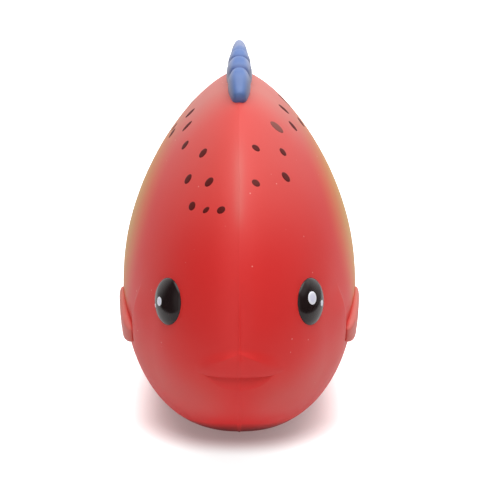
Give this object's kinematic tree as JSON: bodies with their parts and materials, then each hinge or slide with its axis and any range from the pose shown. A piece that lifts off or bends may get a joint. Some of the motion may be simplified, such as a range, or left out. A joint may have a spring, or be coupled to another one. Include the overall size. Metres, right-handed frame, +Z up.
{
  "type": "fish stress toy",
  "caption": "Chubby soft foam squeeze fish with domed eyes, moulded lips and gill covers, lobed back fin, side fins and a bending fan tail; its flanks press in and spring back.",
  "frame": {"origin": "on the surface the fish stands on, under the middle of its overall length and width", "axes": "+Z up, -Y out of the mouth, +Y out of the tail, +X to the fish's left side"},
  "size_m": [0.0494, 0.1118, 0.075],
  "materials": {
    "red_foam": "satin red paint on self-skinning polyurethane foam",
    "flank_foam": "satin yellow-green paint sprayed into the red on self-skinning polyurethane foam",
    "blue_foam": "satin blue paint on self-skinning polyurethane foam",
    "eye_black": "glossy black paint on a raised dome"
  },
  "bodies": {
    "body": {"body": "red_foam", "dorsal_fin": "blue_foam", "anal_fin": "blue_foam", "left_eye": "eye_black", "right_eye": "eye_black"},
    "left_side": {"left_flank": "flank_foam", "left_pectoral_fin": "red_foam"},
    "right_side": {"right_flank": "flank_foam", "right_pectoral_fin": "red_foam"},
    "tail": {"tail_fin": "blue_foam"}
  },
  "joints": [
    {"name": "squeeze_left", "type": "slide", "parent": "body", "child": "left_side", "axis": [-1, 0, 0], "range_m": [0, 0.006], "stiffness_N_per_m": 2000, "deforming": ["left_flank"]},
    {"name": "squeeze_right", "type": "slide", "parent": "body", "child": "right_side", "axis": [1, 0, 0], "range_m": [0, 0.006], "stiffness_N_per_m": 2000, "deforming": ["right_flank"]},
    {"name": "tail_flex", "type": "hinge", "parent": "body", "child": "tail", "pos_m": [0, 0.035, 0.0335], "axis": [0, 0, 1], "range_deg": [-25, 25], "stiffness_Nm_per_rad": 0.03}
  ],
  "couplings": [
    {"joint": "squeeze_right", "follows": "squeeze_left", "ratio": 1}
  ]
}
